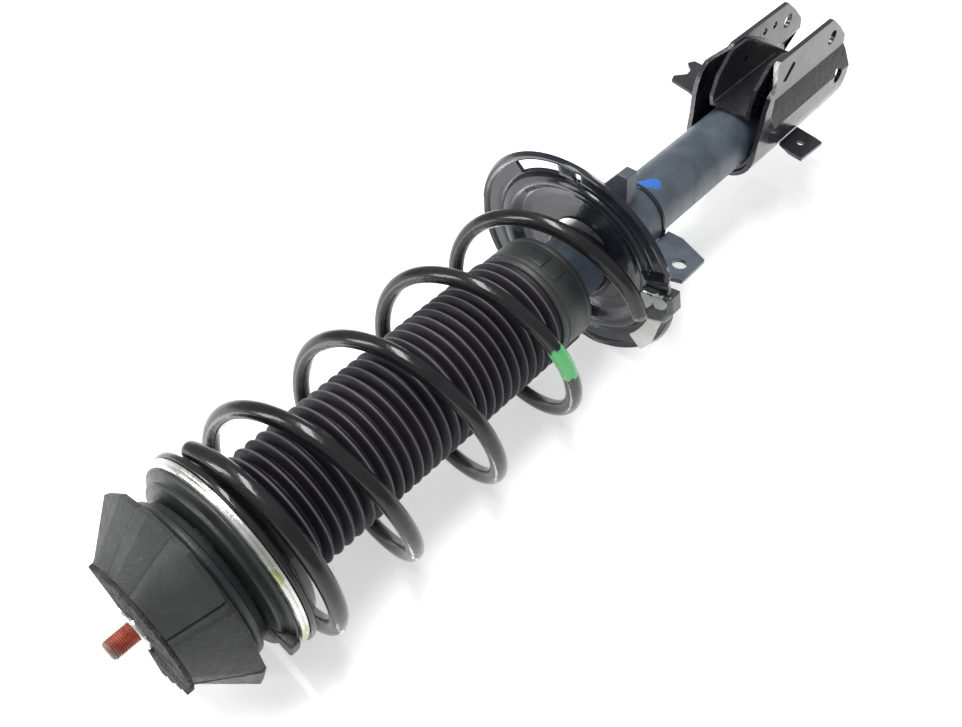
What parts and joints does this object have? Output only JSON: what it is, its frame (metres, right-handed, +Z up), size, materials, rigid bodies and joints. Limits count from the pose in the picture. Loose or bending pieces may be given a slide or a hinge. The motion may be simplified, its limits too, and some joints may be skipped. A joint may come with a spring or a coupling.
{
  "type": "suspension strut",
  "caption": "Front suspension strut: damper with ribbed dust boot inside a coil spring, rubber top mount with a threaded stud, dished spring seats and a two-eared knuckle bracket.",
  "frame": {"origin": "on the floor, under the middle of the overall box", "axes": "the strut lies along X with the top mount towards -X and the knuckle bracket towards +X; +Z up, away from the floor"},
  "size_m": [0.714, 0.169, 0.1574],
  "materials": {
    "redStud": "worn red paint over yellow zinc",
    "steel": "satin",
    "zinc": "zinc plated",
    "rubber": "matte",
    "plastic": "matte",
    "pad": "matte",
    "boot": "satin",
    "spring": "gloss",
    "tube": "satin",
    "seat": "gloss",
    "bracket": "gloss"
  },
  "bodies": {
    "strut_tube": {"outer_tube": "tube", "tube_top_cap": "steel", "rod_seal": "pad", "rod_guide": "steel", "inner_cylinder": "steel", "base_valve": "steel", "tube_end_cap": "steel", "boot_collar": "boot", "lower_spring_seat": "seat", "seat_collar": "bracket", "link_bracket": "tube", "knuckle_bracket": "bracket", "bracket_stiffener": "bracket", "tube_liner": "bracket", "hose_bracket": "bracket", "wire_bracket": "bracket", "coil_spring": "spring", "dust_boot": "boot", "lower_seat_pad": "pad"},
    "upper_seat": {"upper_spring_seat": "zinc", "upper_seat_pad": "pad", "bearing_housing": "plastic", "bearing_lower_race": "steel"},
    "top_mount": {"piston_rod": "redStud", "rod_nut": "steel", "mount_washer": "zinc", "mount_sleeve": "steel", "mount_rubber": "rubber", "mount_plate": "steel", "bearing_cover": "plastic", "bearing_upper_race": "steel", "bump_stop": "plastic", "bump_stop_cup": "steel", "rebound_stop": "steel", "piston": "steel", "piston_band": "plastic", "piston_nut": "steel"}
  },
  "joints": [
    {"name": "strut_travel", "type": "slide", "parent": "strut_tube", "child": "upper_seat", "axis": [1, 0, 0], "range_m": [0, 0.14], "stiffness_N_per_m": 22000, "springref_m": -0.03, "deforming": ["coil_spring", "dust_boot"]},
    {"name": "steering_swivel", "type": "hinge", "parent": "upper_seat", "child": "top_mount", "pos_m": [-0.2965, 0.003, 0.0715], "axis": [1, 0, 0], "range_deg": [-40, 40]}
  ]
}
